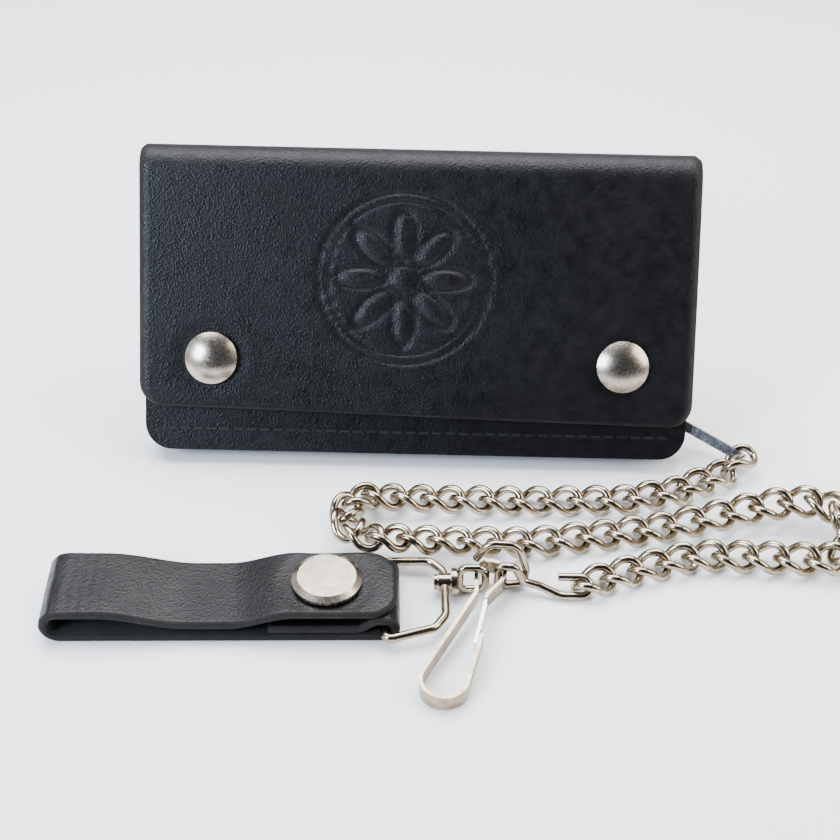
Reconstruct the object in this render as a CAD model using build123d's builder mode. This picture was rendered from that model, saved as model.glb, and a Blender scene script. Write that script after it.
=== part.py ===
"""A leather chain wallet: a snap-shut long wallet, its curb chain, and the belt strap that the chain ends on.

The wallet leans back on whatever props it up, so the row's origin is the middle of its back face.
The chain and the strap lie on the table in front of it. Millimetres and degrees, +Z up, +X to the
wallet's right, and -Y towards whoever faces it.
"""

from math import asin, atan2, cos, degrees, radians, sin, sqrt, tan
import os

from build123d import *

os.makedirs("parts", exist_ok=True)

# ---------------------------------------------------------------- driving dimensions: wallet
wallet_width = 165.0
wallet_height = 91.0  # lower edge to the crown of the fold
lean = 30.0  # how far it leans back from upright
shell_leather = 2.2  # the outer hide: back, fold and flap
pocket_leather = 1.8
divider_leather = 1.0
bill_gap = 3.6  # between the back and the divider
card_gap = 1.4  # between the divider and the pocket
snap_gap = 2.8  # between the pocket and the flap, where the snaps stand
body_inset = 1.0  # the flap is this much wider than the body at each side
body_corner = 8.0
flap_corner = 7.0
flap_lift_left = 13.9  # how far above the wallet's lower edge the flap ends, at each side
flap_lift_right = 10.2
pocket_lip = 5.0  # the pocket and the divider end this far below the fold
welt_width = 8.2
divider_short = 14.0  # the divider stops this far short of the open right side

# snaps on the wallet (line 24)
snap_spread = 122.0
snap_height = 28.5
snap_cap_d = 15.4
snap_cap_rise = 3.4
snap_barrel_d = 4.0
snap_socket_d = 11.5
snap_socket_bore = 5.6
snap_socket_web = 0.3
snap_socket_depth = 1.9
snap_stud_d = 9.0
snap_stud_base = 0.6
snap_nipple_d = 5.2
snap_nipple_height = 2.4
snap_post_d = 9.0
snap_post_head = 0.7
snap_shank_d = 3.4
fit = 0.05  # radial room of a pressed barrel or a running shaft

# stitching
thread_d = 0.7
stitch_pitch = 4.0
stitch_length = 3.0
seam_from_side = 6.0
seam_from_foot = 6.6

# ---------------------------------------------------------------- driving dimensions: chain
link_wire = 2.3
link_half_length = 5.75  # to the wire's centre line
link_half_width = 4.0
link_twist = 52.0  # how far each end is turned about the link's long axis
link_side_slope = 50.0
link_pitch = 8.65
bend_slack = 2.05  # how much closer the links come in a turn of 60 degrees
chain_rest = 3.2  # height of a flat link's centre above the table
turn_radius = 10.4  # of the chain's two hairpin turns
turn_roll = 15.0
turn_low = 4.7  # link heights going into and out of a turn, where it climbs over itself
turn_high = 8.5
turn_reach = 17.0
turn_settle = 60.0
first_link_at = 14.0  # how far along the route the first laid link is
link_count = 45

# the first link stands round the end of the loop: where it is, and its heading, pitch and roll
tie_link_at = (97.7, -8.6, 5.1)
tie_link_turn = (-141.5, -10.4, 21.4)

# the flat steel loop that ties the chain to the wallet
loop_strip = 1.1
loop_strip_width = 2.8
loop_room = 5.6  # clear width inside the loop
loop_hole = (77.0, 12.5)  # its eyelet: right of the middle, and up from the lower edge
loop_end = (99.9, -6.2, 4.3)  # its far end, over the table
skive_reach = 14.5  # the thinned corner round the eyelet, in from the side and up from the foot
skive_height = 21.5
skive_depth = 0.3
eyelet_bore = 4.7
eyelet_barrel = 5.5
eyelet_flange_d = 8.0
eyelet_flange = 0.5

# ---------------------------------------------------------------- driving dimensions: hook and clip
hook_wire = 2.3
hook_eye_at = (38.7, -62.2, 3.05)
hook_eye_roll = 37.0
hook_eye_length = 10.5
hook_eye_width = 5.2
clip_head_at = (22.0, -61.0)
clip_heading = -109.2
clip_strip = 1.0
clip_width = 4.6
clip_lift = 3.1  # height of the head's lower edge
clip_pitch = 3.4  # the clip slopes down to its tail
clip_head_half = 3.7  # half widths of the head and the tail, to the strip's middle
clip_tail_half = 6.8
clip_length = 46.0  # from the head's middle
clip_neck = 8.8
gate_end = 26.0
gate_strip = 0.8
gate_room = 0.2
gate_rib = 0.3
gate_ribs = 10
gate_rib_pitch = 0.95
eye_wire = 2.2

# ---------------------------------------------------------------- driving dimensions: ring and strap
bar_middle = (-7.2, -69.0)  # the middle of the ring's bar, over the table
strap_yaw = 2.0
ring_wire = 2.4
ring_outline = [(0.0, -15.8), (13.4, -11.4), (16.4, -6.6), (16.4, 10.0), (12.8, 14.2), (0.0, 14.2)]
ring_corners = [1.7, 3.0, 4.0, 3.5, 4.0, 1.9]
swivel_side = 6.0  # how far along the ring's outer side the swivel sits
swivel_boss_d = 5.0
swivel_boss = 3.4
swivel_shaft_d = 2.2
swivel_flange_d = 7.8
swivel_flange = 1.5
swivel_head_d = 4.4
strap_width = 24.2
strap_offset = -0.7  # the strap hangs towards one end of the bar
strap_leather = 2.6
strap_bight = 86.0  # from the bar to the middle of the bight
strap_gap = 5.5  # between the two layers at the bight
strap_snap = 15.5  # from the bar
strap_cap_d = 19.0
strap_cap_rise = 2.2
strap_keeper = 31.0
strap_dip = 3.8  # how far the upper leaf sags between the bight and the snap
strap_tip = 3.2  # the leaf runs this far past the bar
strap_corner = 8.0
bar_room = 0.15

# ---------------------------------------------------------------- levels through the wallet, from its back face
back_front = shell_leather
divider_back = back_front + bill_gap
divider_front = divider_back + divider_leather
pocket_back = divider_front + card_gap
pocket_front = pocket_back + pocket_leather
flap_back = pocket_front + snap_gap
flap_front = flap_back + shell_leather
fold_radius = flap_front / 2
fold_start = wallet_height - fold_radius  # height at which the back turns into the fold
back_middle = fold_start / 2

# the back face, with its x along the wallet and its y up the leaning face
wall = Plane(origin=(0, 0, 0), x_dir=(1, 0, 0), z_dir=(0, -cos(radians(lean)), sin(radians(lean))))
# the table, at the foot of the back face
foot = wall.from_local_coords((0, -back_middle, 0))
table = Plane(origin=foot, x_dir=(1, 0, 0), z_dir=(0, 0, 1))


def on_wall(x, height, out=0.0):
    """A point by its distance right of the middle, up the back face and out from it."""
    return wall.from_local_coords((x, height - back_middle, out))


def on_table(x, y, z=0.0):
    """A point by its place on the table and its height above it."""
    return table.from_local_coords((x, y, z))


def finish(piece, name):
    """Label a finished piece and write it."""
    piece.part.label = name
    export_step(piece.part, f"parts/{name}.step")
    print(f"{name:22s} solids {len(piece.part.solids()):3d}  volume {piece.part.volume:9.1f}")


def rounded(points, radii, closed=False):
    """Straight runs joined by tangent arcs, as a list of edges. One radius for each corner."""
    points = [Vector(*p) for p in points]
    count = len(points)
    corners = range(count) if closed else range(1, count - 1)
    starts, ends, middles = {}, {}, {}
    for n, i in enumerate(corners):
        here = points[i]
        back = (points[i - 1] - here).normalized()
        ahead = (points[(i + 1) % count] - here).normalized()
        half = radians(back.get_angle(ahead)) / 2
        starts[i] = here + back * (radii[n] / tan(half))
        ends[i] = here + ahead * (radii[n] / tan(half))
        bisector = (back + ahead).normalized()
        middles[i] = here + bisector * (radii[n] / sin(half) - radii[n])
    edges = []
    for i in range(count if closed else count - 1):
        j = (i + 1) % count
        begin, end = ends.get(i, points[i]), starts.get(j, points[j])
        if (end - begin).length > 1e-4:
            edges.append(Edge.make_line(begin, end))
        if j in middles:
            edges.append(Edge.make_three_point_arc(starts[j], middles[j], ends[j]))
    return edges


def across(path, at=0.0):
    """The plane square to a path, at its start unless told otherwise."""
    return Plane(origin=path.position_at(at), z_dir=path.tangent_at(at))


def up(height):
    """The wall plane's own y for a height above the wallet's lower edge."""
    return height - back_middle


body_half = wallet_width / 2 - body_inset
panel_top = fold_start - pocket_lip
snap_points = [(-snap_spread / 2, up(snap_height)), (snap_spread / 2, up(snap_height))]
eyelet_point = (loop_hole[0], up(loop_hole[1]))

# ---------------------------------------------------------------- the wallet's leather layers, back to front
with BuildPart() as back_panel:
    with BuildSketch(wall):
        with BuildLine():
            Polyline(
                (-body_half, up(0)),
                (-body_half, up(fold_start)),
                (body_half, up(fold_start)),
                (body_half, up(0)),
                close=True,
            )
        make_face()
        fillet(vertices().sort_by(Axis.Y)[:2], radius=body_corner)
        with Locations(eyelet_point):
            Circle(eyelet_barrel / 2 + fit, mode=Mode.SUBTRACT)
    extrude(amount=shell_leather)
    with BuildSketch(wall):
        with Locations(eyelet_point):
            Circle(eyelet_flange_d / 2 + fit)
    extrude(amount=eyelet_flange, mode=Mode.SUBTRACT)
    # the hide is skived thinner at the corner that the chain's loop lies against
    with BuildSketch(wall):
        with Locations((body_half, up(0))):
            Rectangle(2 * skive_reach, 2 * skive_height)
    extrude(amount=skive_depth, mode=Mode.SUBTRACT)
finish(back_panel, "back_panel")

# the layers are kept apart along the left side and the foot, where they are sewn
with BuildPart() as bill_welt:
    with BuildSketch(wall.offset(back_front)):
        with BuildLine():
            Polyline(
                (-body_half, up(0)),
                (-body_half, up(panel_top)),
                (-body_half + welt_width, up(panel_top)),
                (-body_half + welt_width, up(welt_width)),
                (body_half, up(welt_width)),
                (body_half, up(0)),
                close=True,
            )
        make_face()
        fillet(vertices().filter_by(lambda v: abs(v.Y - up(0)) < 0.01), radius=body_corner)
    extrude(amount=bill_gap)
finish(bill_welt, "bill_welt")

with BuildPart() as divider:
    with BuildSketch(wall.offset(divider_back)):
        with BuildLine():
            Polyline(
                (-body_half, up(0)),
                (-body_half, up(panel_top)),
                (body_half - divider_short, up(panel_top)),
                (body_half - divider_short, up(0)),
                close=True,
            )
        make_face()
        fillet(vertices().sort_by(Axis.Y)[:2], radius=body_corner)
    extrude(amount=divider_leather)
finish(divider, "divider")

with BuildPart() as card_welt:
    with BuildSketch(wall.offset(divider_front)):
        with BuildLine():
            Polyline(
                (-body_half, up(0)),
                (-body_half, up(panel_top)),
                (-body_half + welt_width, up(panel_top)),
                (-body_half + welt_width, up(welt_width)),
                (body_half - divider_short, up(welt_width)),
                (body_half - divider_short, up(0)),
                close=True,
            )
        make_face()
        fillet(vertices().filter_by(lambda v: abs(v.Y - up(0)) < 0.01).sort_by(Axis.X)[:1], radius=body_corner)
    extrude(amount=card_gap)
finish(card_welt, "card_welt")

with BuildPart() as foot_welt:
    with BuildSketch(wall.offset(divider_back)):
        with BuildLine():
            Polyline(
                (body_half - divider_short, up(0)),
                (body_half - divider_short, up(welt_width)),
                (body_half, up(welt_width)),
                (body_half, up(0)),
                close=True,
            )
        make_face()
        fillet(vertices().sort_by(Axis.X)[-2:].sort_by(Axis.Y)[:1], radius=body_corner)
    extrude(amount=divider_leather + card_gap)
finish(foot_welt, "foot_welt")

with BuildPart() as pocket_panel:
    with BuildSketch(wall.offset(pocket_back)):
        with BuildLine():
            Polyline(
                (-body_half, up(0)),
                (-body_half, up(panel_top)),
                (body_half, up(panel_top)),
                (body_half, up(0)),
                close=True,
            )
        make_face()
        fillet(vertices().sort_by(Axis.Y)[:2], radius=body_corner)
        with Locations(*snap_points):
            Circle(snap_shank_d / 2 + fit, mode=Mode.SUBTRACT)
    extrude(amount=pocket_leather)
finish(pocket_panel, "pocket_panel")

side = Plane(origin=on_wall(0, fold_start, fold_radius), x_dir=wall.z_dir, z_dir=-wall.x_dir)
with BuildPart() as fold_spine:
    with BuildSketch(side):
        Circle(fold_radius)
        Circle(fold_radius - shell_leather, mode=Mode.SUBTRACT)
        Rectangle(4 * fold_radius, 2 * fold_radius, align=(Align.CENTER, Align.MAX), mode=Mode.SUBTRACT)
    extrude(amount=wallet_width / 2, both=True)
finish(fold_spine, "fold_spine")

with BuildPart() as flap:
    with BuildSketch(wall.offset(flap_back)):
        with BuildLine():
            Polyline(
                (-wallet_width / 2, up(flap_lift_left)),
                (-wallet_width / 2, up(fold_start)),
                (wallet_width / 2, up(fold_start)),
                (wallet_width / 2, up(flap_lift_right)),
                close=True,
            )
        make_face()
        fillet(vertices().sort_by(Axis.Y)[:2], radius=flap_corner)
        with Locations(*snap_points):
            Circle(snap_barrel_d / 2 + fit, mode=Mode.SUBTRACT)
    extrude(amount=shell_leather)
finish(flap, "flap")

# ---------------------------------------------------------------- the seam that shows on the pocket
seam_left = -body_half + seam_from_side
foot_stitches = int((body_half - 4.0 - seam_left) / stitch_pitch)
side_stitches = int((panel_top - 4.0 - seam_from_foot) / stitch_pitch)
seam_plane = wall.offset(pocket_front)
seam_places = []
for n in range(foot_stitches):
    middle = (seam_left + (n + 0.5) * stitch_pitch, up(seam_from_foot))
    seam_places.append(seam_plane * Location(middle))
for n in range(side_stitches):
    middle = (seam_left, up(seam_from_foot) + (n + 0.5) * stitch_pitch)
    seam_places.append(seam_plane * Location(middle, (0, 0, 90)))

with BuildPart() as stitch_pattern:
    with BuildSketch():
        SlotOverall(stitch_length, thread_d)
    extrude(amount=thread_d * 0.4)

with BuildPart() as seam_stitches:
    with Locations(*seam_places):
        add(stitch_pattern.part)
finish(seam_stitches, "seam_stitches")

# ---------------------------------------------------------------- one line 24 snap, standing on its stud's seat


def snap_cap(diameter, rise, leather, flat):
    """A snap's cap and the barrel under it. Its seat, the leather's outer face, is at z 0."""
    rim = 1.2
    dome = ((diameter / 2) ** 2 + (rise - rim) ** 2) / 2 / (rise - rim)
    half_turn = asin(diameter / 2 / dome) / 2
    dome_middle = (dome * sin(half_turn), rise - dome + dome * cos(half_turn))
    with BuildPart(mode=Mode.PRIVATE) as cap:
        with BuildSketch(Plane.XZ):
            with BuildLine():
                Polyline(
                    (0, rise),
                    (0, -leather - snap_socket_web),
                    (snap_barrel_d / 2, -leather - snap_socket_web),
                    (snap_barrel_d / 2, 0),
                    (diameter / 2 - 0.6, 0),
                    (diameter / 2, 0.35),
                    (diameter / 2, rim),
                )
                if flat:
                    Polyline((diameter / 2, rim), (diameter / 2 - 1.6, rise), (0, rise))
                else:
                    ThreePointArc((diameter / 2, rim), dome_middle, (0, rise))
            make_face()
        revolve(axis=Axis.Z)
    return cap.part


with BuildPart() as socket_pattern:
    with BuildSketch(Plane.XZ):
        with BuildLine():
            Polyline(
                (snap_barrel_d / 2 + fit, snap_gap),
                (snap_socket_d / 2, snap_gap),
                (snap_socket_d / 2, snap_gap - 0.5),
                (snap_socket_d / 2 - 1.0, snap_gap - snap_socket_depth),
                (snap_socket_bore / 2, snap_gap - snap_socket_depth),
                (snap_socket_bore / 2, snap_gap - snap_socket_web),
                (snap_barrel_d / 2 + fit, snap_gap - snap_socket_web),
                close=True,
            )
        make_face()
    revolve(axis=Axis.Z)

with BuildPart() as stud_pattern:
    with BuildSketch(Plane.XZ):
        with BuildLine():
            Polyline(
                (snap_shank_d / 2 + fit, 0),
                (snap_stud_d / 2, 0),
                (snap_stud_d / 2, snap_stud_base),
                (snap_nipple_d / 2 - 0.5, snap_stud_base),
                (snap_nipple_d / 2 - 0.5, snap_stud_base + 0.5),
                (snap_nipple_d / 2, snap_stud_base + 1.0),
                (snap_nipple_d / 2, snap_nipple_height - 0.5),
                (snap_nipple_d / 2 - 0.6, snap_nipple_height),
                (0, snap_nipple_height),
                (0, snap_nipple_height - 0.6),
                (snap_shank_d / 2 + fit, snap_nipple_height - 0.6),
                close=True,
            )
        make_face()
    revolve(axis=Axis.Z)


def snap_post(leather):
    """The post that rivets a stud through this much leather. The leather's outer face is at z 0."""
    with BuildPart(mode=Mode.PRIVATE) as post:
        with Locations((0, 0, -leather)):
            Cylinder(snap_post_d / 2, snap_post_head, align=(Align.CENTER, Align.CENTER, Align.MAX))
            Cylinder(
                snap_shank_d / 2,
                leather + snap_nipple_height - 0.7,
                align=(Align.CENTER, Align.CENTER, Align.MIN),
            )
    return post.part


cap_places = [wall.offset(flap_front) * Location(spot) for spot in snap_points]
stud_places = [wall.offset(pocket_front) * Location(spot) for spot in snap_points]

cap_pattern = snap_cap(snap_cap_d, snap_cap_rise, shell_leather, False)
post_pattern = snap_post(pocket_leather)

with BuildPart() as snap_caps:
    with Locations(*cap_places):
        add(cap_pattern)
finish(snap_caps, "snap_caps")

with BuildPart() as snap_sockets:
    with Locations(*stud_places):
        add(socket_pattern.part)
finish(snap_sockets, "snap_sockets")

with BuildPart() as snap_studs:
    with Locations(*stud_places):
        add(stud_pattern.part)
finish(snap_studs, "snap_studs")

with BuildPart() as snap_posts:
    with Locations(*stud_places):
        add(post_pattern)
finish(snap_posts, "snap_posts")

# ---------------------------------------------------------------- the eyelet and the loop through it
eyelet_plane = wall * Location(eyelet_point)
with BuildPart() as eyelet:
    with BuildSketch(eyelet_plane):
        Circle(eyelet_flange_d / 2)
        Circle(eyelet_bore / 2, mode=Mode.SUBTRACT)
    extrude(amount=eyelet_flange)
    with BuildSketch(eyelet_plane):
        Circle(eyelet_barrel / 2)
        Circle(eyelet_bore / 2, mode=Mode.SUBTRACT)
    extrude(amount=shell_leather + eyelet_flange)
    with BuildSketch(Plane(eyelet_plane).offset(shell_leather)):
        Circle(eyelet_flange_d / 2)
        Circle(eyelet_bore / 2, mode=Mode.SUBTRACT)
    extrude(amount=eyelet_flange)
finish(eyelet, "eyelet")

hole_middle = on_wall(loop_hole[0], loop_hole[1], shell_leather / 2)
loop_tip = on_table(*loop_end)
loop_run = loop_tip - hole_middle
loop_axis = loop_run.normalized()
loop_plane = Plane(
    origin=(hole_middle + loop_tip) / 2,
    x_dir=loop_axis,
    z_dir=loop_axis.cross(wall.z_dir),
)
with BuildPart() as chain_loop:
    with BuildSketch(loop_plane):
        SlotOverall(loop_run.length + loop_strip, loop_room + 2 * loop_strip)
        SlotOverall(loop_run.length - loop_strip, loop_room, mode=Mode.SUBTRACT)
    extrude(amount=loop_strip_width / 2, both=True)
finish(chain_loop, "chain_loop")

# ---------------------------------------------------------------- one curb link: a loop of wire, twisted end to end
twist = radians(link_twist)
slope = radians(link_side_slope)
end_point = Vector(link_half_length, 0, 0)
end_way = Vector(0, cos(twist), sin(twist))
side_point = Vector(0, link_half_width, 0)
side_way = Vector(-cos(slope), 0, -sin(slope))
# the two arcs of each quarter meet where both are the same length from their ends
gap = side_point - end_point
way_sum = end_way + side_way
quad_a = 2 * (end_way.dot(side_way) - 1)
quad_b = -2 * gap.dot(way_sum)
quad_c = gap.dot(gap)
quad_root = sqrt(quad_b**2 - 4 * quad_a * quad_c)
reach = min(r for r in ((-quad_b + quad_root) / 2 / quad_a, (-quad_b - quad_root) / 2 / quad_a) if r > 0)
quarter_point = (end_point + side_point + (end_way - side_way) * reach) / 2
back_quarter = Vector(-quarter_point.X, quarter_point.Y, -quarter_point.Z)

with BuildPart() as link_pattern:
    with BuildLine() as link_half:
        TangentArc(end_point, quarter_point, tangent=end_way)
        TangentArc(side_point, quarter_point, tangent=-side_way)
        TangentArc(side_point, back_quarter, tangent=side_way)
        TangentArc(-end_point, back_quarter, tangent=Vector(0, cos(twist), -sin(twist)))
    with BuildSketch(Plane(origin=end_point, z_dir=end_way)):
        Circle(link_wire / 2)
    sweep(path=link_half.wire())
    add(link_pattern.part.rotate(Axis.X, 180))

# ---------------------------------------------------------------- the chain, laid along its route over the table
route_points = [
    (101.5, -4.0),
    (94.0, -12.0),
    (78.0, -21.0),
    (62.0, -25.5),
    (34.0, -27.0),
    (8.0, -28.0),
    (-10.0 - 1.1 * turn_radius, -28.3),
    (-10.0 - 0.7 * turn_radius, -28.3 - 2.15 * turn_radius),
    (6.0, -28.3 - 1.95 * turn_radius),
    (30.0, -45.5),
    (55.0, -41.0),
    (80.0, -35.5),
    (104.0, -30.5),
    (104.0 + 2.5 * turn_radius, -30.0),
    (104.0 + 1.8 * turn_radius, -30.0 - 2.05 * turn_radius),
    (98.0, -30.5 - 1.85 * turn_radius),
    (80.0, -49.0),
    (64.0, -54.5),
    (50.0, -60.3),
]
route_radii = [10.0, 20.0, 30.0, 40.0, 60.0, turn_radius, turn_radius, 30.0, 40.0]
route_radii += [60.0, 60.0, 40.0, turn_radius, turn_radius, 30.0, 30.0, 40.0]
route = Wire(rounded([(x, y, 0) for x, y in route_points], route_radii))


def route_place(at):
    """The point at a length along the route, and the heading there."""
    at = min(at, route.length)
    spot = route.position_at(at, position_mode=PositionMode.LENGTH)
    way = route.tangent_at(at, position_mode=PositionMode.LENGTH)
    return spot, degrees(atan2(way.Y, way.X))


marks = [n * 0.5 for n in range(int(route.length / 0.5))]
left_turn = min(marks, key=lambda at: route_place(at)[0].X)
right_turn = max((at for at in marks if at > left_turn), key=lambda at: route_place(at)[0].X)
# a turn to the left is climbed, a turn to the right comes down: offset, roll, height
left_profile = [
    (-turn_settle, 0.0, chain_rest),
    (-turn_reach, turn_roll, turn_low),
    (turn_reach, -turn_roll, turn_high),
    (turn_settle, 0.0, chain_rest),
]
right_profile = [
    (-turn_settle, 0.0, chain_rest),
    (-turn_reach, turn_roll, turn_high),
    (turn_reach, -turn_roll, turn_low),
    (turn_settle, 0.0, chain_rest),
]


def roll_and_height(at):
    """A link's roll and its centre's height, at a length along the route."""
    left = at < (left_turn + right_turn) / 2
    profile = left_profile if left else right_profile
    offset = at - (left_turn if left else right_turn)
    offset = max(profile[0][0], min(profile[-1][0], offset))
    for low, high in zip(profile, profile[1:]):
        if offset <= high[0]:
            part = (offset - low[0]) / (high[0] - low[0])
            return low[1] + part * (high[1] - low[1]), low[2] + part * (high[2] - low[2])
    return profile[-1][1], profile[-1][2]


def link_plane(centre, heading, pitch, roll):
    """The plane a link lies in: its long axis is x."""
    level = table * Location(centre)
    return level * Rotation(0, 0, heading) * Rotation(0, -pitch, 0) * Rotation(roll, 0, 0)


link_marks = []
at = first_link_at
for n in range(link_count):
    link_marks.append(at)
    turn = (route_place(at + link_pitch)[1] - route_place(at)[1] + 180) % 360 - 180
    at += link_pitch - bend_slack * min(1, abs(turn) / 60)

link_centres = [Vector(*tie_link_at)]
link_planes = [link_plane(tie_link_at, *tie_link_turn)]
for n, at in enumerate(link_marks):
    spot, heading = route_place(at)
    roll, height = roll_and_height(at)
    before = link_marks[max(n - 1, 0)]
    after = link_marks[min(n + 1, link_count - 1)]
    pitch = degrees(atan2(roll_and_height(after)[1] - roll_and_height(before)[1], after - before))
    link_centres.append(Vector(spot.X, spot.Y, height))
    link_planes.append(link_plane((spot.X, spot.Y, height), heading, pitch, roll))

# each run of links is one node. It starts where the chain may swing on the run before.
chain_runs = [1, 6, 7, 3, 4, 6, 6, 3, 4, 6]
first = 0
for n, length in enumerate(chain_runs):
    with BuildPart() as chain_run:
        with Locations(*link_planes[first : first + length]):
            add(link_pattern.part)
    finish(chain_run, f"chain_{n:02d}")
    if first:
        print("  swings about", on_table(*((link_centres[first - 1] + link_centres[first]) / 2)))
    first += length

# ---------------------------------------------------------------- the hook on the chain's last link
eye_plane = Plane(
    origin=on_table(*hook_eye_at),
    x_dir=(1, 0, 0),
    z_dir=(0, -sin(radians(hook_eye_roll)), cos(radians(hook_eye_roll))),
)
eye_half = hook_eye_width / 2
head_x, head_y = clip_head_at
over_strip = clip_lift + clip_width + hook_wire / 2 + 0.35
under_strip = clip_lift - hook_wire / 2 - 0.25
in_head = head_x + 1.7
hook_points = [
    eye_plane.from_local_coords((1.6, eye_half, 0)),
    eye_plane.from_local_coords((hook_eye_length, eye_half, 0)),
    eye_plane.from_local_coords((hook_eye_length, -eye_half, 0)),
    eye_plane.from_local_coords((2.4, -eye_half, 0)),
    eye_plane.from_local_coords((-3.4, 0, 0)),
    on_table(head_x + 8.6, head_y - 0.9, clip_lift + 1.3),
    on_table(head_x + 6.2, head_y - 0.6, over_strip),
    on_table(in_head, head_y - 0.2, over_strip),
    on_table(in_head, head_y, under_strip),
    on_table(head_x + 9.0, head_y + 1.1, under_strip),
    on_table(head_x + 9.6, head_y + 3.2, clip_lift + 2.2),
    on_table(head_x + 7.0, head_y + 4.8, clip_lift + 9.4),
    on_table(head_x - 1.0, head_y + 4.8, clip_lift + 9.7),
    on_table(head_x - 4.4, head_y + 4.2, clip_lift + 4.4),
]
hook_radii = [eye_half - 0.01, eye_half - 0.01, 4.0, 4.0, 2.5, 1.8, 1.5, 1.5, 1.6, 2.5, 3.8, 3.8]
with BuildPart() as chain_hook:
    hook_path = Wire(rounded(hook_points, hook_radii))
    with BuildSketch(across(hook_path)):
        Circle(hook_wire / 2)
    sweep(path=hook_path)
finish(chain_hook, "chain_hook")

# ---------------------------------------------------------------- the spring clip, a flat strip stood on edge
clip_way = radians(clip_heading)
clip_dip = radians(clip_pitch)
clip_plane = Plane(
    origin=on_table(head_x, head_y, clip_lift + clip_width / 2),
    x_dir=(cos(clip_way) * cos(clip_dip), sin(clip_way) * cos(clip_dip), -sin(clip_dip)),
    z_dir=(cos(clip_way) * sin(clip_dip), sin(clip_way) * sin(clip_dip), cos(clip_dip)),
)
head_half = clip_head_half
tail_half = clip_tail_half
neck_half = 1.5
clip_points = [
    (gate_end - 3.5, tail_half - 2.2, 0),
    (clip_length, tail_half, 0),
    (clip_length, -tail_half, 0),
    (clip_neck, -neck_half, 0),
    (2.6, -head_half, 0),
    (-head_half + 0.3, -head_half, 0),
    (-head_half + 0.3, head_half, 0),
    (2.6, head_half, 0),
    (clip_neck, neck_half, 0),
    (clip_neck + 1.6, neck_half + 0.2, 0),
]
clip_radii = [6.0, 6.0, 2.5, 3.0, 3.2, 3.2, 3.0, 1.6]
with BuildPart() as clip_body:
    clip_path = Wire(rounded([clip_plane.from_local_coords(p) for p in clip_points], clip_radii))
    with BuildSketch(Plane(origin=clip_path @ 0, x_dir=clip_plane.z_dir, z_dir=clip_path % 0)):
        Rectangle(clip_width, clip_strip)
    sweep(path=clip_path)
finish(clip_body, "clip_body")

gate_root = (clip_neck + 1.6 + gate_room, neck_half + 0.25)
gate_tip = (gate_end, tail_half - 2.95)
gate_run = Vector(gate_tip[0] - gate_root[0], gate_tip[1] - gate_root[1])
gate_angle = degrees(atan2(gate_run.Y, gate_run.X))
gate_plane = clip_plane * Location((gate_root[0], gate_root[1], 0), (0, 0, gate_angle))
with BuildPart() as clip_gate:
    with Locations(gate_plane):
        Box(gate_run.length, gate_strip, clip_width - 0.4, align=(Align.MIN, Align.CENTER, Align.CENTER))
        with Locations(*[(2.0 + n * gate_rib_pitch, gate_strip / 2, 0) for n in range(gate_ribs)]):
            Cylinder(gate_rib, clip_width - 0.4)
finish(clip_gate, "clip_gate")

# ---------------------------------------------------------------- the strap's ring and its swivel
bar_height = strap_leather + ring_wire / 2 + bar_room
ring_way = (cos(radians(strap_yaw)), sin(radians(strap_yaw)), 0)
ring_plane = Plane(origin=on_table(*bar_middle, bar_height), x_dir=ring_way, z_dir=(0, 0, 1))
ring_side = ring_outline[2][0]
swivel_plane = Plane(
    origin=ring_plane.from_local_coords((ring_side, swivel_side, 0)),
    x_dir=(0, 0, 1),
    z_dir=ring_way,
)
with BuildPart() as strap_ring:
    ring_path = Wire(
        rounded([ring_plane.from_local_coords((x, y, 0)) for x, y in ring_outline], ring_corners, closed=True)
    )
    with BuildSketch(across(ring_path)):
        Circle(ring_wire / 2)
    sweep(path=ring_path)
    with Locations(swivel_plane):
        Cylinder(swivel_boss_d / 2, swivel_boss)
        Cylinder(swivel_shaft_d / 2 + fit, swivel_boss + 1, mode=Mode.SUBTRACT)
finish(strap_ring, "strap_ring")

# the swivel turns in the ring and ends in an eye round the clip's head
flange_at = swivel_boss / 2 + 0.2
eye_left = flange_at + swivel_flange + 0.8
eye_right = eye_left + 7.1
eye_low = eye_wire / 2 + 0.1 - bar_height
eye_high = clip_lift + clip_width + eye_wire / 2 + 0.35 - bar_height
swivel_side_plane = Plane(origin=swivel_plane.origin, x_dir=ring_way, z_dir=Vector(*ring_way).cross(Vector(0, 0, 1)))
eye_corners = [(eye_left, eye_low), (eye_right, eye_low), (eye_right, eye_high), (eye_left, eye_high)]
with BuildPart() as swivel_eye:
    with Locations(swivel_plane.offset(flange_at)):
        Cylinder(swivel_flange_d / 2, swivel_flange, align=(Align.CENTER, Align.CENTER, Align.MIN))
        Cylinder(
            swivel_shaft_d / 2,
            2 * flange_at + 0.2,
            align=(Align.CENTER, Align.CENTER, Align.MAX),
        )
    with Locations(swivel_plane.offset(-flange_at)):
        Cylinder(swivel_head_d / 2, 1.0, align=(Align.CENTER, Align.CENTER, Align.MAX))
    eye_path = Wire(
        rounded([swivel_side_plane.from_local_coords(p) for p in eye_corners], [1.9, 2.6, 2.6, 1.9], closed=True)
    )
    with BuildSketch(across(eye_path)):
        Circle(eye_wire / 2)
    sweep(path=eye_path)
finish(swivel_eye, "swivel_eye")

# ---------------------------------------------------------------- the belt strap
strap_side = Plane(
    origin=ring_plane.from_local_coords((0, strap_offset, -bar_height)),
    x_dir=(-ring_way[0], -ring_way[1], 0),
    z_dir=(-ring_way[1], ring_way[0], 0),
)
half_leather = strap_leather / 2
layer_gap = 0.1
keeper_level = strap_leather + layer_gap + half_leather
keeper_top = keeper_level + half_leather
leaf_level = strap_leather + strap_gap + half_leather
wrap = ring_wire / 2 + bar_room + half_leather
strap_snap_z = leaf_level - half_leather - snap_gap


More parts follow.
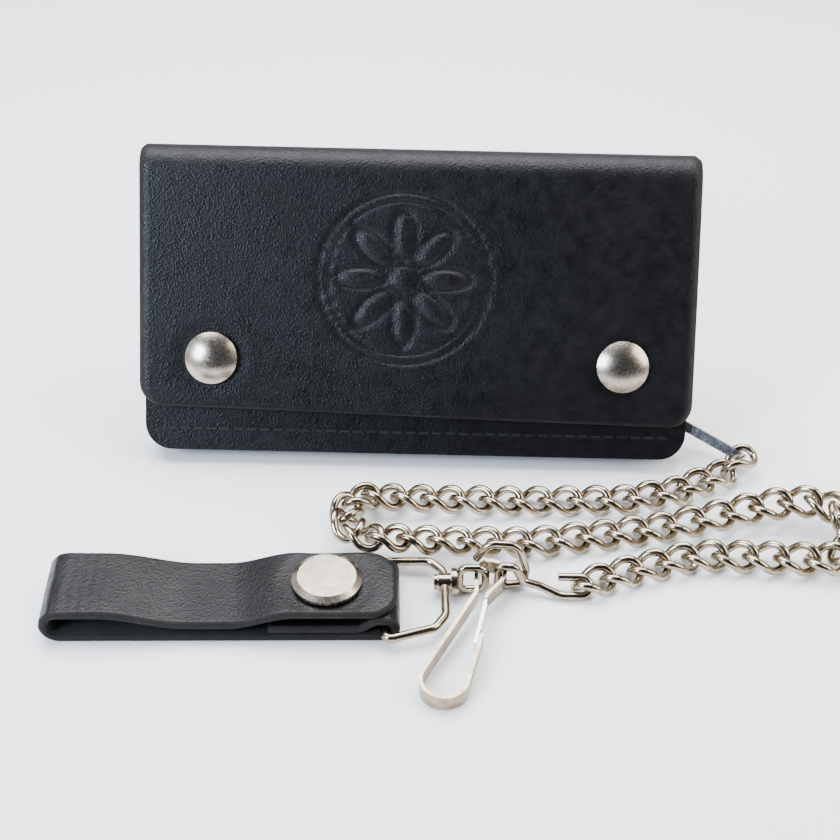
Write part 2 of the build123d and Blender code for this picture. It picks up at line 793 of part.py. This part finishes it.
def strip_along(points, radii):
    """A strip of the strap's leather along a path in the strap's side plane."""
    path = Wire(rounded([strap_side.from_local_coords(p) for p in points], radii))
    with BuildPart(mode=Mode.PRIVATE) as strip:
        with BuildSketch(Plane(origin=path @ 0, x_dir=strap_side.z_dir, z_dir=path % 0)):
            Rectangle(strap_width, strap_leather)
        sweep(path=path)
    return strip.part


strap_snap_plane = Plane(origin=strap_side.from_local_coords((strap_snap, 0, 0)), x_dir=ring_way, z_dir=(0, 0, 1))
base_strip = strip_along(
    [
        (strap_bight, half_leather),
        (-wrap, half_leather),
        (-wrap, half_leather + 2 * wrap),
        (2.2, half_leather + 2 * wrap),
        (8.0, keeper_level),
        (strap_keeper, keeper_level),
    ],
    [wrap - 0.001, wrap - 0.001, 4.0, 5.0],
)
with BuildPart() as strap_base:
    add(base_strip)
    with Locations(strap_snap_plane):
        Cylinder(
            snap_shank_d / 2 + fit,
            keeper_top + 1,
            align=(Align.CENTER, Align.CENTER, Align.MIN),
            mode=Mode.SUBTRACT,
        )
        Cylinder(
            snap_post_d / 2 + fit,
            snap_post_head,
            align=(Align.CENTER, Align.CENTER, Align.MIN),
            mode=Mode.SUBTRACT,
        )
finish(strap_base, "strap_base")

with BuildPart() as strap_bend:
    with BuildSketch(strap_side):
        with Locations((strap_bight, strap_leather + strap_gap / 2)):
            Circle(strap_gap / 2 + strap_leather)
            Circle(strap_gap / 2, mode=Mode.SUBTRACT)
            Rectangle(
                2 * (strap_gap + strap_leather),
                2 * (strap_gap + strap_leather),
                align=(Align.MAX, Align.CENTER),
                mode=Mode.SUBTRACT,
            )
    extrude(amount=strap_width / 2, both=True)
finish(strap_bend, "strap_bend")

leaf_strip = strip_along(
    [
        (strap_bight, leaf_level),
        (strap_bight - 10.0, leaf_level),
        (strap_bight - 34.0, leaf_level - strap_dip),
        (strap_bight - 44.0, leaf_level - strap_dip),
        (strap_snap + 8.5, leaf_level),
        (-strap_tip, leaf_level),
    ],
    [20.0, 14.0, 14.0, 20.0],
)
with BuildPart() as strap_leaf:
    add(leaf_strip)
    tip = strap_side.from_local_coords((-strap_tip, leaf_level))
    fillet(edges().filter_by(Axis.Z).sort_by_distance(tip)[:2], radius=strap_corner)
    with Locations(strap_snap_plane):
        Cylinder(
            snap_barrel_d / 2 + fit,
            leaf_level + strap_leather,
            align=(Align.CENTER, Align.CENTER, Align.MIN),
            mode=Mode.SUBTRACT,
        )
finish(strap_leaf, "strap_leaf")

strap_cap_pattern = snap_cap(strap_cap_d, strap_cap_rise, strap_leather, True)
strap_post_pattern = snap_post(strap_snap_z - snap_post_head)

with BuildPart() as strap_cap:
    with Locations(strap_snap_plane.offset(leaf_level + half_leather)):
        add(strap_cap_pattern)
finish(strap_cap, "strap_cap")

with BuildPart() as strap_socket:
    with Locations(strap_snap_plane.offset(strap_snap_z)):
        add(socket_pattern.part)
finish(strap_socket, "strap_socket")

with BuildPart() as strap_stud:
    with Locations(strap_snap_plane.offset(strap_snap_z)):
        add(stud_pattern.part)
finish(strap_stud, "strap_stud")

with BuildPart() as strap_post:
    with Locations(strap_snap_plane.offset(strap_snap_z)):
        add(strap_post_pattern)
finish(strap_post, "strap_post")

# ---------------------------------------------------------------- the points and axes the joints turn on
fold_shift = (fold_radius - shell_leather / 2) * 0.785
bend_shift = (strap_gap / 2 + half_leather) * 0.785
print("fold 1", on_wall(0, fold_start + fold_shift, fold_radius - fold_shift))
print("fold 2", on_wall(0, fold_start + fold_shift, fold_radius + fold_shift))
print("loop", hole_middle, "tip", loop_tip)
print("hook", eye_plane.from_local_coords((hook_eye_length, 0, 0)))
print("clip", clip_plane.origin, clip_plane.z_dir, "gate", gate_plane.position)
print("swivel", swivel_plane.origin, swivel_plane.z_dir, "bar", ring_plane.origin, ring_plane.y_dir)
print("bend", strap_side.from_local_coords((strap_bight + bend_shift, strap_leather + strap_gap / 2 - bend_shift)))
print("bend", strap_side.from_local_coords((strap_bight + bend_shift, strap_leather + strap_gap / 2 + bend_shift)))
print("foot of the wallet", table.origin, "last link", link_centres[-1])
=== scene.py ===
"""Looks for the chain wallet: leather shells, materials, light and camera, in the CAD row's own frame."""

from math import atan2, cos, hypot, pi, radians, sin, sqrt

import bmesh
import bpy
import numpy as np
from mathutils import Matrix, Vector


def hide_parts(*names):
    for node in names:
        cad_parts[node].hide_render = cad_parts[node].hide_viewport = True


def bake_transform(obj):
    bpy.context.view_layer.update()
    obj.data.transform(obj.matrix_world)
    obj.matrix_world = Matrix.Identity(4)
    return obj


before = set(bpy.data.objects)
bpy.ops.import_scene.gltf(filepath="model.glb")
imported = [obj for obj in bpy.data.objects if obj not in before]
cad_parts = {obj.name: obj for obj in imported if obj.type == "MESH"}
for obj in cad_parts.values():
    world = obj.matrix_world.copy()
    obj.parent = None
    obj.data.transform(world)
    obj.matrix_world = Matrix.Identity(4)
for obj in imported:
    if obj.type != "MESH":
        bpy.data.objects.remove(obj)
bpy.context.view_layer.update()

MM = 0.001

# ---------------------------------------------------------------- the same dimensions as the CAD, in millimetres
LEAN = radians(30)
WIDTH, HEIGHT = 165.0, 91.0
HIDE = 2.2
FLAP_FRONT = 15.0
FOLD_R = FLAP_FRONT / 2
FOLD_START = HEIGHT - FOLD_R
BODY_HALF = WIDTH / 2 - 1.0
BODY_CORNER, FLAP_CORNER = 8.0, 7.0
FLAP_LEFT, FLAP_RIGHT = 13.9, 10.2
SNAP_X, SNAP_H = 61.0, 28.5

UP = Vector((0, sin(LEAN), cos(LEAN)))
OUT = Vector((0, -cos(LEAN), sin(LEAN)))
FOOT = UP * (-FOLD_START / 2)

YAW = radians(2.0)
BAR = (-7.2, -69.0)
STRAP_OFFSET = -0.7
STRAP_HALF = 12.1
STRAP_HIDE = 2.6
STRAP_BIGHT = 86.0
STRAP_GAP = 5.5
STRAP_TIP = 3.2
STRAP_CORNER = 8.0
STRAP_DIP = 3.8
SNAP_FROM_BAR = 15.5
KEEPER = 31.0
BAR_R = 1.35
RING_WAY = Vector((cos(YAW), sin(YAW), 0))
RING_SIDE = Vector((-sin(YAW), cos(YAW), 0))


def wall(x, height, out=0.0):
    """A point of the wallet, by its distance right of the middle, up its back face and out from it."""
    return FOOT + Vector((x, 0, 0)) + UP * height + OUT * out


def strap(along, side, z):
    """A point of the strap, by its distance from the bar, across the strap and above the table."""
    return FOOT + Vector((BAR[0], BAR[1], z)) - RING_WAY * along + RING_SIDE * (side + STRAP_OFFSET)


# ---------------------------------------------------------------- materials
def nodes_of(name):
    """A new material's node tree and its main shader."""
    made = bpy.data.materials.new(name)
    made.use_nodes = True
    tree = made.node_tree
    return made, tree, tree.nodes["Principled BSDF"]


def put(tree, kind, **values):
    """A new node with these inputs or settings."""
    node = tree.nodes.new(kind)
    for key, value in values.items():
        if key in node.inputs:
            node.inputs[key].default_value = value
        elif key.replace("_", " ") in node.inputs:
            node.inputs[key.replace("_", " ")].default_value = value
        else:
            setattr(node, key, value)
    return node


def ramp(tree, source, stops):
    """A colour ramp over a value: (place, colour) stops."""
    node = tree.nodes.new("ShaderNodeValToRGB")
    for n, (place, colour) in enumerate(stops):
        stop = node.color_ramp.elements[n] if n < 2 else node.color_ramp.elements.new(place)
        stop.position = place
        stop.color = (*colour, 1)
    tree.links.new(source, node.inputs["Fac"])
    return node.outputs["Color"]


def leather(name, dark, light, rough, grain, depth, coat):
    """Grained hide: fine pebbles, faint creases and a patchy finish."""
    made, tree, shader = nodes_of(name)
    link = tree.links.new
    place = put(tree, "ShaderNodeTexCoord").outputs["Object"]
    patch = put(tree, "ShaderNodeTexNoise", Scale=55.0, Detail=5.0, Roughness=0.6)
    link(place, patch.inputs["Vector"])
    link(ramp(tree, patch.outputs["Fac"], [(0.35, dark), (0.7, light)]), shader.inputs["Base Color"])
    scuff = put(tree, "ShaderNodeTexNoise", Scale=260.0, Detail=4.0, Roughness=0.65)
    link(place, scuff.inputs["Vector"])
    low, high = rough
    link(
        ramp(tree, scuff.outputs["Fac"], [(0.3, (low,) * 3), (0.75, (high,) * 3)]),
        shader.inputs["Roughness"],
    )
    wobble = put(tree, "ShaderNodeTexNoise", Scale=grain * 0.8, Detail=2.0)
    link(place, wobble.inputs["Vector"])
    pebble = put(tree, "ShaderNodeTexVoronoi", feature="F1", Scale=grain)
    warp = put(tree, "ShaderNodeVectorMath", operation="MULTIPLY_ADD")
    warp.inputs[1].default_value = (0.0006, 0.0006, 0.0006)
    link(wobble.outputs["Color"], warp.inputs[0])
    link(place, warp.inputs[2])
    link(warp.outputs["Vector"], pebble.inputs["Vector"])
    crease = put(tree, "ShaderNodeTexNoise", Scale=grain * 0.14, Detail=7.0, Roughness=0.7)
    link(place, crease.inputs["Vector"])
    mix = put(tree, "ShaderNodeMath", operation="MULTIPLY_ADD")
    mix.inputs[1].default_value = 1.6
    link(crease.outputs["Fac"], mix.inputs[0])
    link(pebble.outputs["Distance"], mix.inputs[2])
    bump = put(tree, "ShaderNodeBump", Strength=depth, Distance=0.00012)
    link(mix.outputs["Value"], bump.inputs["Height"])
    link(bump.outputs["Normal"], shader.inputs["Normal"])
    shader.inputs["Specular IOR Level"].default_value = 0.24
    shader.inputs["Coat Weight"].default_value = coat
    shader.inputs["Coat Roughness"].default_value = 0.3
    return made


def metal(name, colour, worn, rough, grain=900.0, depth=0.06):
    """Plated metal with rubbed patches and faint hairlines."""
    made, tree, shader = nodes_of(name)
    link = tree.links.new
    place = put(tree, "ShaderNodeTexCoord").outputs["Object"]
    patch = put(tree, "ShaderNodeTexNoise", Scale=grain * 0.22, Detail=4.0, Roughness=0.6)
    link(place, patch.inputs["Vector"])
    link(ramp(tree, patch.outputs["Fac"], [(0.38, worn), (0.62, colour)]), shader.inputs["Base Color"])
    haze = put(tree, "ShaderNodeTexNoise", Scale=grain, Detail=5.0, Roughness=0.7)
    link(place, haze.inputs["Vector"])
    low, high = rough
    link(
        ramp(tree, haze.outputs["Fac"], [(0.3, (low,) * 3), (0.75, (high,) * 3)]),
        shader.inputs["Roughness"],
    )
    bump = put(tree, "ShaderNodeBump", Strength=depth, Distance=0.00005)
    link(haze.outputs["Fac"], bump.inputs["Height"])
    link(bump.outputs["Normal"], shader.inputs["Normal"])
    shader.inputs["Metallic"].default_value = 1.0
    return made


HIDE_MAT = leather("hide", (0.0015, 0.0015, 0.0022), (0.0035, 0.0035, 0.005), (0.30, 0.50), 1700.0, 0.9, 0.0)
STRAP_MAT = leather("strap_hide", (0.0015, 0.0015, 0.002), (0.004, 0.0035, 0.004), (0.28, 0.44), 1400.0, 0.7, 0.0)
EDGE_MAT = leather("cut_edge", (0.003, 0.003, 0.003), (0.010, 0.008, 0.007), (0.6, 0.8), 2600.0, 0.7, 0.0)
FLESH_MAT = leather("flesh_side", (0.010, 0.013, 0.012), (0.022, 0.026, 0.024), (0.8, 0.95), 3400.0, 0.8, 0.0)
NICKEL = metal("nickel", (0.42, 0.36, 0.28), (0.27, 0.21, 0.14), (0.12, 0.26))
CLIP_MAT = metal("clip_nickel", (0.44, 0.37, 0.27), (0.28, 0.21, 0.13), (0.15, 0.3))
# The clip gate's own lighter plating. The chain's loop strip wears it too, as a painted reflection that makes the
# strip lighter than the chain's nickel.
GATE_AND_LOOP_SHEEN_MAT = metal("gate_plate_and_loop_sheen", (0.66, 0.68, 0.70), (0.5, 0.5, 0.5), (0.18, 0.34))
CAP_MAT = metal("cap_plate", (0.50, 0.44, 0.37), (0.38, 0.32, 0.25), (0.2, 0.32), grain=1400.0, depth=0.1)
THREAD_MAT = leather("thread", (0.006, 0.006, 0.006), (0.02, 0.02, 0.02), (0.5, 0.7), 4200.0, 0.8, 0.0)


def wear(obj, *mats):
    """Only these materials on the piece."""
    obj.data.materials.clear()
    for mat in mats:
        obj.data.materials.append(mat)


for node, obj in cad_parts.items():
    # The loop strip gets the lighter plate as a painted reflection: its lighter colour stands in for the bright
    # light it mirrors.
    if node == "chain_loop":
        wear(obj, GATE_AND_LOOP_SHEEN_MAT)
    elif node.startswith("chain_"):
        wear(obj, NICKEL)
    elif node in ("strap_ring", "swivel_eye"):
        wear(obj, NICKEL)
    elif node == "clip_body":
        wear(obj, CLIP_MAT)
    elif node == "clip_gate":
        wear(obj, GATE_AND_LOOP_SHEEN_MAT)
    elif "snap" in node or node in ("strap_cap", "strap_socket", "strap_stud", "strap_post", "eyelet"):
        wear(obj, CAP_MAT)
    elif node == "seam_stitches":
        wear(obj, THREAD_MAT)
    elif node.endswith("welt"):
        wear(obj, EDGE_MAT)
    elif node.startswith("strap_"):
        wear(obj, STRAP_MAT)
    else:
        wear(obj, HIDE_MAT)


# ---------------------------------------------------------------- leather shells with rounded, cut edges
def spaced(low, high, step, fine_low=True, fine_high=True, edge=1.1, extra=()):
    """Places from low to high, closer together at a rounded edge and at any extra (low, high, step) band."""
    steps = [low, high]
    count = max(2, int((high - low) / step))
    steps += [low + (high - low) * n / count for n in range(count + 1)]
    rim = [edge * (1 - cos(pi / 2 * n / 6)) for n in range(7)]
    if fine_low:
        steps += [low + r for r in rim]
    if fine_high:
        steps += [high - r for r in rim]
    for a, b, s in extra:
        steps += list(np.arange(a, b, s))
    steps = sorted(steps)
    kept = [steps[0]]
    for value in steps[1:]:
        if value - kept[-1] > 0.012:
            kept.append(value)
    kept[-1] = high
    return np.array(kept)


def shell(name, us, vs, place, reach, thick, mats, relief=None):
    """A closed leather piece over a grid of u across and v along, 0 to 1.

    place(u, v) gives the middle surface's point and the outward direction there. reach(u, v) gives how far a
    place is inside the nearest cut edge, where the two faces round over to meet.
    """
    rows, cols = len(vs), len(us)
    front, back, rim = [], [], []
    half = thick / 2
    for v in vs:
        for u in us:
            point, out = place(u, v)
            inside = min(max(reach(u, v), 0.0), half)
            swell = half * sqrt(max(0.0, 1 - (1 - inside / half) ** 2))
            raise_by = relief(u, v) if relief else 0.0
            front.append(point + out * (swell + raise_by * swell / half))
            back.append(point - out * swell)
            rim.append(inside < half * 0.55)
    total = rows * cols
    verts = [tuple(p * MM) for p in front + back]
    faces, which = [], []
    for r in range(rows - 1):
        for c in range(cols - 1):
            a = r * cols + c
            quad = (a, a + 1, a + cols + 1, a + cols)
            edge = rim[a] or rim[a + 1] or rim[a + cols] or rim[a + cols + 1]
            faces.append(quad)
            which.append(1 if edge and len(mats) > 1 else 0)
            faces.append(tuple(total + k for k in reversed(quad)))
            which.append((1 if edge else 2) if len(mats) > 2 else 0)
    loop = [c for c in range(cols)]
    loop += [r * cols + cols - 1 for r in range(1, rows)]
    loop += [(rows - 1) * cols + c for c in range(cols - 2, -1, -1)]
    loop += [r * cols for r in range(rows - 2, 0, -1)]
    for n, a in enumerate(loop):
        b = loop[(n + 1) % len(loop)]
        faces.append((b, a, total + a, total + b))
        which.append(1 if len(mats) > 1 else 0)
    mesh = bpy.data.meshes.new(name)
    mesh.from_pydata(verts, [], faces)
    for mat in mats:
        mesh.materials.append(mat)
    mesh.polygons.foreach_set("material_index", which)
    mesh.polygons.foreach_set("use_smooth", [True] * len(which))
    mesh.validate()
    made = bpy.data.objects.new(name, mesh)
    bpy.context.scene.collection.objects.link(made)
    work = bmesh.new()
    work.from_mesh(mesh)
    bmesh.ops.remove_doubles(work, verts=work.verts, dist=2e-6)
    bmesh.ops.recalc_face_normals(work, faces=work.faces)
    work.to_mesh(mesh)
    work.free()
    return made


def smooth_step(t):
    t = min(1.0, max(0.0, t))
    return t * t * (3 - 2 * t)


def round_half(d, half, corner):
    """Half the piece's width at a distance d from its end, whose two corners are rounded."""
    return half if d >= corner else half - corner + sqrt(max(0.0, corner**2 - (corner - d) ** 2))


def inside_end(x, d, half, corner):
    """How far a place is inside the cut edge of a strip with one rounded end."""
    dx = half - abs(x)
    if dx < corner and d < corner:
        return corner - hypot(corner - dx, corner - d)
    return min(dx, d)


def bump_at(x, h, cx, ch, r):
    """1 at a place, fading to 0 at a distance r from it."""
    t = min(1.0, hypot(x - cx, h - ch) / r)
    return (1 - t * t) ** 2


# The flap's stamped ornament: a plain eight-petalled rosette inside two rings.
ROSETTE = (-4.5, 53.0)


def groove(distance, width):
    """A soft pressed line's depth, from 0 to 1."""
    return max(0.0, 1 - (distance / width) ** 2) ** 1.5 if abs(distance) < width else 0.0


def rosette(x, h):
    """The ornament's relief in millimetres."""
    px, py = x - ROSETTE[0], h - ROSETTE[1]
    r = hypot(px, py)
    if r > 27:
        return 0.0
    a = atan2(py, px)
    turned = (a + pi / 8) % (pi / 4) - pi / 8
    u, v = r * cos(turned) - 12.6, r * sin(turned)
    petal = (hypot(u / 7.2, v / 3.1) - 1) * 3.1
    lines = max(groove(r - 25.2, 0.9), groove(r - 22.6, 0.6), groove(r - 3.9, 0.8), groove(petal, 0.95))
    raised = 0.35 * smooth_step(-petal / 1.8) + 0.25 * smooth_step((3.4 - r) / 2)
    return raised - 0.5 * lines


ARC = pi / 2 * (FOLD_R - HIDE / 2)
MID = FOLD_R - HIDE / 2


def back_half(x, along):
    """The back panel and the first half of the fold: along runs up from the foot."""
    if along <= FOLD_START:
        return wall(x, along, HIDE / 2), -OUT
    a = (along - FOLD_START) / MID
    out = UP * sin(a) - OUT * cos(a)
    return wall(x, FOLD_START, FOLD_R) + out * MID, out


def flap_foot(x):
    """The height of the flap's lower edge, which was cut a little slanting."""
    return FLAP_LEFT + (FLAP_RIGHT - FLAP_LEFT) * (x + WIDTH / 2) / WIDTH


def flap_half(x, above, full):
    """The flap and the second half of the fold: above runs up from the flap's lower edge."""
    if above <= full:
        foot = flap_foot(x)
        h = foot + (FOLD_START - foot) * above / full
        low = 1 - above / full
        swing = 0.45 * sin(x * 0.055 + 0.6) * low**2 + 0.35 * sin(x * 0.021 - 1.0) * sin(pi * low)
        for side in (-1, 1):
            swing *= 1 - bump_at(x, h, side * SNAP_X, SNAP_H, 16)
        return wall(x, h, FLAP_FRONT - HIDE / 2 + swing), OUT
    a = (above - full) / MID
    out = OUT * cos(a) + UP * sin(a)
    return wall(x, FOLD_START, FOLD_R) + out * MID, out


def flat_ends(obj, test):
    """Flat shading for the faces of a hidden join, so the surfaces beside it shade as one."""
    for face in obj.data.polygons:
        if test(face):
            face.use_smooth = False


half_body, half_flap = BODY_HALF, WIDTH / 2
along_back = spaced(0, FOLD_START + ARC, 1.6, True, False, extra=[(FOLD_START, FOLD_START + ARC, 0.35)])
across = spaced(-1, 1, 0.02, True, True, edge=1.3 / half_flap)


def back_width(along):
    """Half the width of the back panel, which widens a little into the fold."""
    t = min(1.0, max(0.0, (along - (FOLD_START - 6)) / 6))
    full = half_body + (half_flap - half_body) * t * t * (3 - 2 * t)
    return round_half(along, full, BODY_CORNER)


def back_place(s, along):
    return back_half(s * back_width(along), along)


def back_reach(s, along):
    return inside_end(s * back_width(along), along, max(back_width(along), half_body), BODY_CORNER)


SHELL_MATS = [HIDE_MAT, EDGE_MAT, FLESH_MAT]
wallet_back = shell("wallet_back", across, along_back, back_place, back_reach, HIDE, SHELL_MATS)

flap_full = FOLD_START - (FLAP_LEFT + FLAP_RIGHT) / 2
along_flap = spaced(
    0, flap_full + ARC, 1.4, True, False, extra=[(12, 70, 0.42), (flap_full, flap_full + ARC, 0.35)]
)
across_flap = spaced(-1, 1, 0.02, True, True, edge=1.3 / half_flap, extra=[(-0.4, 0.29, 0.0052)])


def flap_width(above):
    return round_half(above, half_flap, FLAP_CORNER)


def flap_place(s, above):
    return flap_half(s * flap_width(above), above, flap_full)


def flap_reach(s, above):
    return inside_end(s * flap_width(above), above, half_flap, FLAP_CORNER)


def flap_relief(s, above):
    x = s * flap_width(above)
    foot = flap_foot(x)
    h = foot + (FOLD_START - foot) * above / flap_full
    made = rosette(x, h) if above < flap_full else 0.0
    for side in (-1, 1):
        r = hypot(x - side * SNAP_X, h - SNAP_H)
        made -= 0.32 * max(0.0, 1 - ((r - 7.0) / 5.0) ** 2) if 2 < r < 12 else 0.0
    return made


wallet_flap = shell(
    "wallet_flap", across_flap, along_flap, flap_place, flap_reach, HIDE, SHELL_MATS, flap_relief
)
join = wall(0, FOLD_START, FOLD_R)


def at_join(face):
    """True for the closing faces across the hidden join at the top of the fold."""
    middle = face.center / MM - join
    return abs(middle.dot(OUT)) < 0.02 and abs(face.normal.dot(OUT)) > 0.9


for half in (wallet_back, wallet_flap):
    flat_ends(half, at_join)
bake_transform(wallet_back)
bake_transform(wallet_flap)
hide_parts("back_panel", "fold_spine")
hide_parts("flap")

# ---------------------------------------------------------------- the belt strap
LOW = STRAP_HIDE / 2
HIGH = STRAP_HIDE + STRAP_GAP + STRAP_HIDE / 2
BEND_R = (STRAP_GAP + STRAP_HIDE) / 2
BEND_LONG = pi / 2 * BEND_R


def leaf_level(along):
    """The height of the leaf's middle surface: level, dipping where the strap is pinched, level at the snap."""
    return HIGH - STRAP_DIP * smooth_step((STRAP_BIGHT - 10 - along) / 24) * smooth_step((along - 24) / 18)


def leaf_half(side, past):
    """The leaf and the upper half of the bight: past runs from the leaf's tip towards the bight."""
    along = past - STRAP_TIP
    if along <= STRAP_BIGHT:
        slope = (leaf_level(along + 0.2) - leaf_level(along - 0.2)) / 0.4
        out = (RING_WAY * slope + Vector((0, 0, 1))).normalized()
        sag = -0.35 * smooth_step((6 - along) / 10) * (side / STRAP_HALF) ** 2
        return strap(along, side, leaf_level(along) + sag), out
    a = (along - STRAP_BIGHT) / BEND_R
    out = Vector((0, 0, 1)) * cos(a) - RING_WAY * sin(a)
    return strap(STRAP_BIGHT, side, STRAP_HIDE + STRAP_GAP / 2) + out * BEND_R, out


leaf_full = STRAP_BIGHT + STRAP_TIP
leaf_along = spaced(0, leaf_full + BEND_LONG, 0.7, True, False, extra=[(leaf_full, leaf_full + BEND_LONG, 0.2)])
strap_across = spaced(-1, 1, 0.04, True, True, edge=1.3 / STRAP_HALF)


def leaf_width(past):
    return round_half(past, STRAP_HALF, STRAP_CORNER)


def leaf_place(s, past):
    return leaf_half(s * leaf_width(past), past)


def leaf_reach(s, past):
    return inside_end(s * leaf_width(past), past, STRAP_HALF, STRAP_CORNER)


def leaf_relief(s, past):
    """A dished seat under the cap, fine creases over the bight and the small waves of a worn strap."""
    x, along = s * leaf_width(past), past - STRAP_TIP
    r = hypot(x, along - SNAP_FROM_BAR)
    made = -0.35 * max(0.0, 1 - ((r - 8.8) / 5.0) ** 2) if 3.8 < r < 13.8 else 0.0
    if along > 60:
        made += 0.06 * sin(along * 2.3 + 0.5 * sin(x * 0.5)) * smooth_step((along - 60) / 20)
    return made + 0.12 * sin(along * 0.22 + 0.6) * sin(x * 0.16 + 0.4)


STRAP_MATS = [STRAP_MAT, EDGE_MAT, FLESH_MAT]
strap_top = shell(
    "strap_top", strap_across, leaf_along, leaf_place, leaf_reach, STRAP_HIDE, STRAP_MATS, leaf_relief
)

# The base: from the bight along the table, round the bar, and back as a short end under the snap.
WRAP = BAR_R + 0.15 + LOW
BACK_LEVEL = LOW + 2 * WRAP
KEEPER_LEVEL = STRAP_HIDE + 0.2 + LOW


def base_line():
    """The strap's lower part in side view, from its free end to the middle of the bight."""
    line = [(KEEPER - 0.8 * n, KEEPER_LEVEL) for n in range(int((KEEPER - 7.4) / 0.8))]
    for n in range(1, 9):
        t = n / 8
        line.append((7.4 - 5.6 * t, KEEPER_LEVEL + (BACK_LEVEL - KEEPER_LEVEL) * smooth_step(t)))
    line += [(1.2, BACK_LEVEL), (0.6, BACK_LEVEL)]
    for n in range(25):
        a = pi * n / 24
        line.append((-WRAP * sin(a), LOW + WRAP + WRAP * cos(a)))
    line += [(0.8 * n, LOW) for n in range(1, int(STRAP_BIGHT / 0.8))]
    for n in range(17):
        a = pi / 2 * n / 16
        line.append((STRAP_BIGHT + BEND_R * sin(a), LOW + BEND_R - BEND_R * cos(a)))
    return line


BASE = base_line()


def base_place(s, n):
    k = min(int(n), len(BASE) - 2)
    (x0, z0), (x1, z1) = BASE[k], BASE[k + 1]
    before, after = BASE[max(k - 1, 0)], BASE[min(k + 2, len(BASE) - 1)]
    t = n - k
    point = strap(x0 + (x1 - x0) * t, s * STRAP_HALF, z0 + (z1 - z0) * t)
    start = Vector((x1 - before[0], z1 - before[1])) if k else Vector((x1 - x0, z1 - z0))
    end = Vector((after[0] - x0, after[1] - z0)) if k < len(BASE) - 2 else Vector((x1 - x0, z1 - z0))
    run = (start.normalized() * (1 - t) + end.normalized() * t).normalized()
    return point, -(RING_WAY * run.y + Vector((0, 0, 1)) * run.x)


def base_reach(s, n):
    k = min(int(n), len(BASE) - 2)
    from_end = abs(KEEPER - BASE[k][0]) + (n - k) * 0.8 if n < 6 else 9.0
    return min(STRAP_HALF * (1 - abs(s)), from_end)


base_steps = sorted(set([float(n) for n in range(len(BASE))] + [0.1, 0.2, 0.35, 0.55, 0.8, 1.2, 1.6]))
strap_under = shell(
    "strap_under", strap_across, base_steps, base_place, base_reach, STRAP_HIDE, STRAP_MATS
)
bight_join = strap(STRAP_BIGHT + BEND_R, 0, LOW + BEND_R)


def at_bight(face):
    """True for the closing faces across the hidden join in the middle of the bight."""
    middle = face.center / MM - bight_join
    return abs(middle.z) < 0.02 and abs(face.normal.z) > 0.9


for part in (strap_top, strap_under):
    flat_ends(part, at_bight)
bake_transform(strap_under)
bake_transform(strap_top)
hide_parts("strap_base", "strap_bend")
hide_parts("strap_leaf")

# ---------------------------------------------------------------- the table, the light and the camera
TABLE = FOOT.z


def table_plane():
    """A pale table top under the wallet."""
    mesh = bpy.data.meshes.new("table_top")
    far = 3.0
    z = TABLE * MM
    mesh.from_pydata([(-far, -far, z), (far, -far, z), (far, far, z), (-far, far, z)], [], [(0, 1, 2, 3)])
    made, tree, shader = nodes_of("table_paper")
    shader.inputs["Base Color"].default_value = (0.93, 0.935, 0.94, 1)
    shader.inputs["Roughness"].default_value = 0.75
    mesh.materials.append(made)
    top = bpy.data.objects.new("table_top", mesh)
    bpy.context.scene.collection.objects.link(top)


table_plane()

world = bpy.data.worlds.new("room")
bpy.context.scene.world = world
world.use_nodes = True
room = world.node_tree
back = room.nodes["Background"]
way = put(room, "ShaderNodeTexCoord").outputs["Generated"]
facing = put(room, "ShaderNodeVectorMath", operation="DOT_PRODUCT")
facing.inputs[1].default_value = (0.12, -0.86, 0.5)
room.links.new(way, facing.inputs[0])
dim, bright = (0.035, 0.042, 0.06), (0.95, 0.97, 1.0)
shade = ramp(room, facing.outputs["Value"], [(0.15, bright), (0.62, (0.30, 0.34, 0.42)), (0.86, dim)])
room.links.new(shade, back.inputs["Color"])
back.inputs["Strength"].default_value = 0.9


def softbox(name, at, aim, size, watts, colour):
    """A soft rectangular lamp at a place in millimetres, aimed at another."""
    lamp = bpy.data.lights.new(name, "AREA")
    lamp.shape = "RECTANGLE"
    lamp.size, lamp.size_y = size
    lamp.energy = watts
    lamp.color = colour
    made = bpy.data.objects.new(name, lamp)
    made.location = Vector(at) * MM
    way = Vector(aim) - Vector(at)
    made.rotation_euler = way.to_track_quat("-Z", "Y").to_euler()
    bpy.context.scene.collection.objects.link(made)


softbox("over", (-60, 200, 620), (0, -20, -10), (0.8, 0.55), 15.0, (0.95, 0.97, 1.0))
softbox("left", (-430, -420, 330), (-20, -30, -10), (0.22, 0.3), 7.0, (0.72, 0.84, 1.0))
softbox("right", (560, -120, 360), (0, -30, -20), (0.4, 0.5), 4.5, (1.0, 0.95, 0.88))

PITCH, ROLL = radians(38.0), radians(1.3)
EYE = Vector((1.3, -380.98, 256.64))
LENS, SENSOR = 64.286, 36.0
lens = bpy.data.cameras.new("photo_view")
lens.lens = LENS
lens.sensor_width = SENSOR
lens.clip_start = 0.01
eye = bpy.data.objects.new("photo_view", lens)
ahead = Vector((0, cos(PITCH), -sin(PITCH)))
right, above_it = Vector((1, 0, 0)), Vector((0, sin(PITCH), cos(PITCH)))
turned_right = right * cos(ROLL) + above_it * sin(ROLL)
turned_up = above_it * cos(ROLL) - right * sin(ROLL)
turn = Matrix((turned_right, turned_up, -ahead)).transposed().to_4x4()
eye.matrix_world = Matrix.Translation(EYE * MM) @ turn
bpy.context.scene.collection.objects.link(eye)
bpy.context.scene.camera = eye
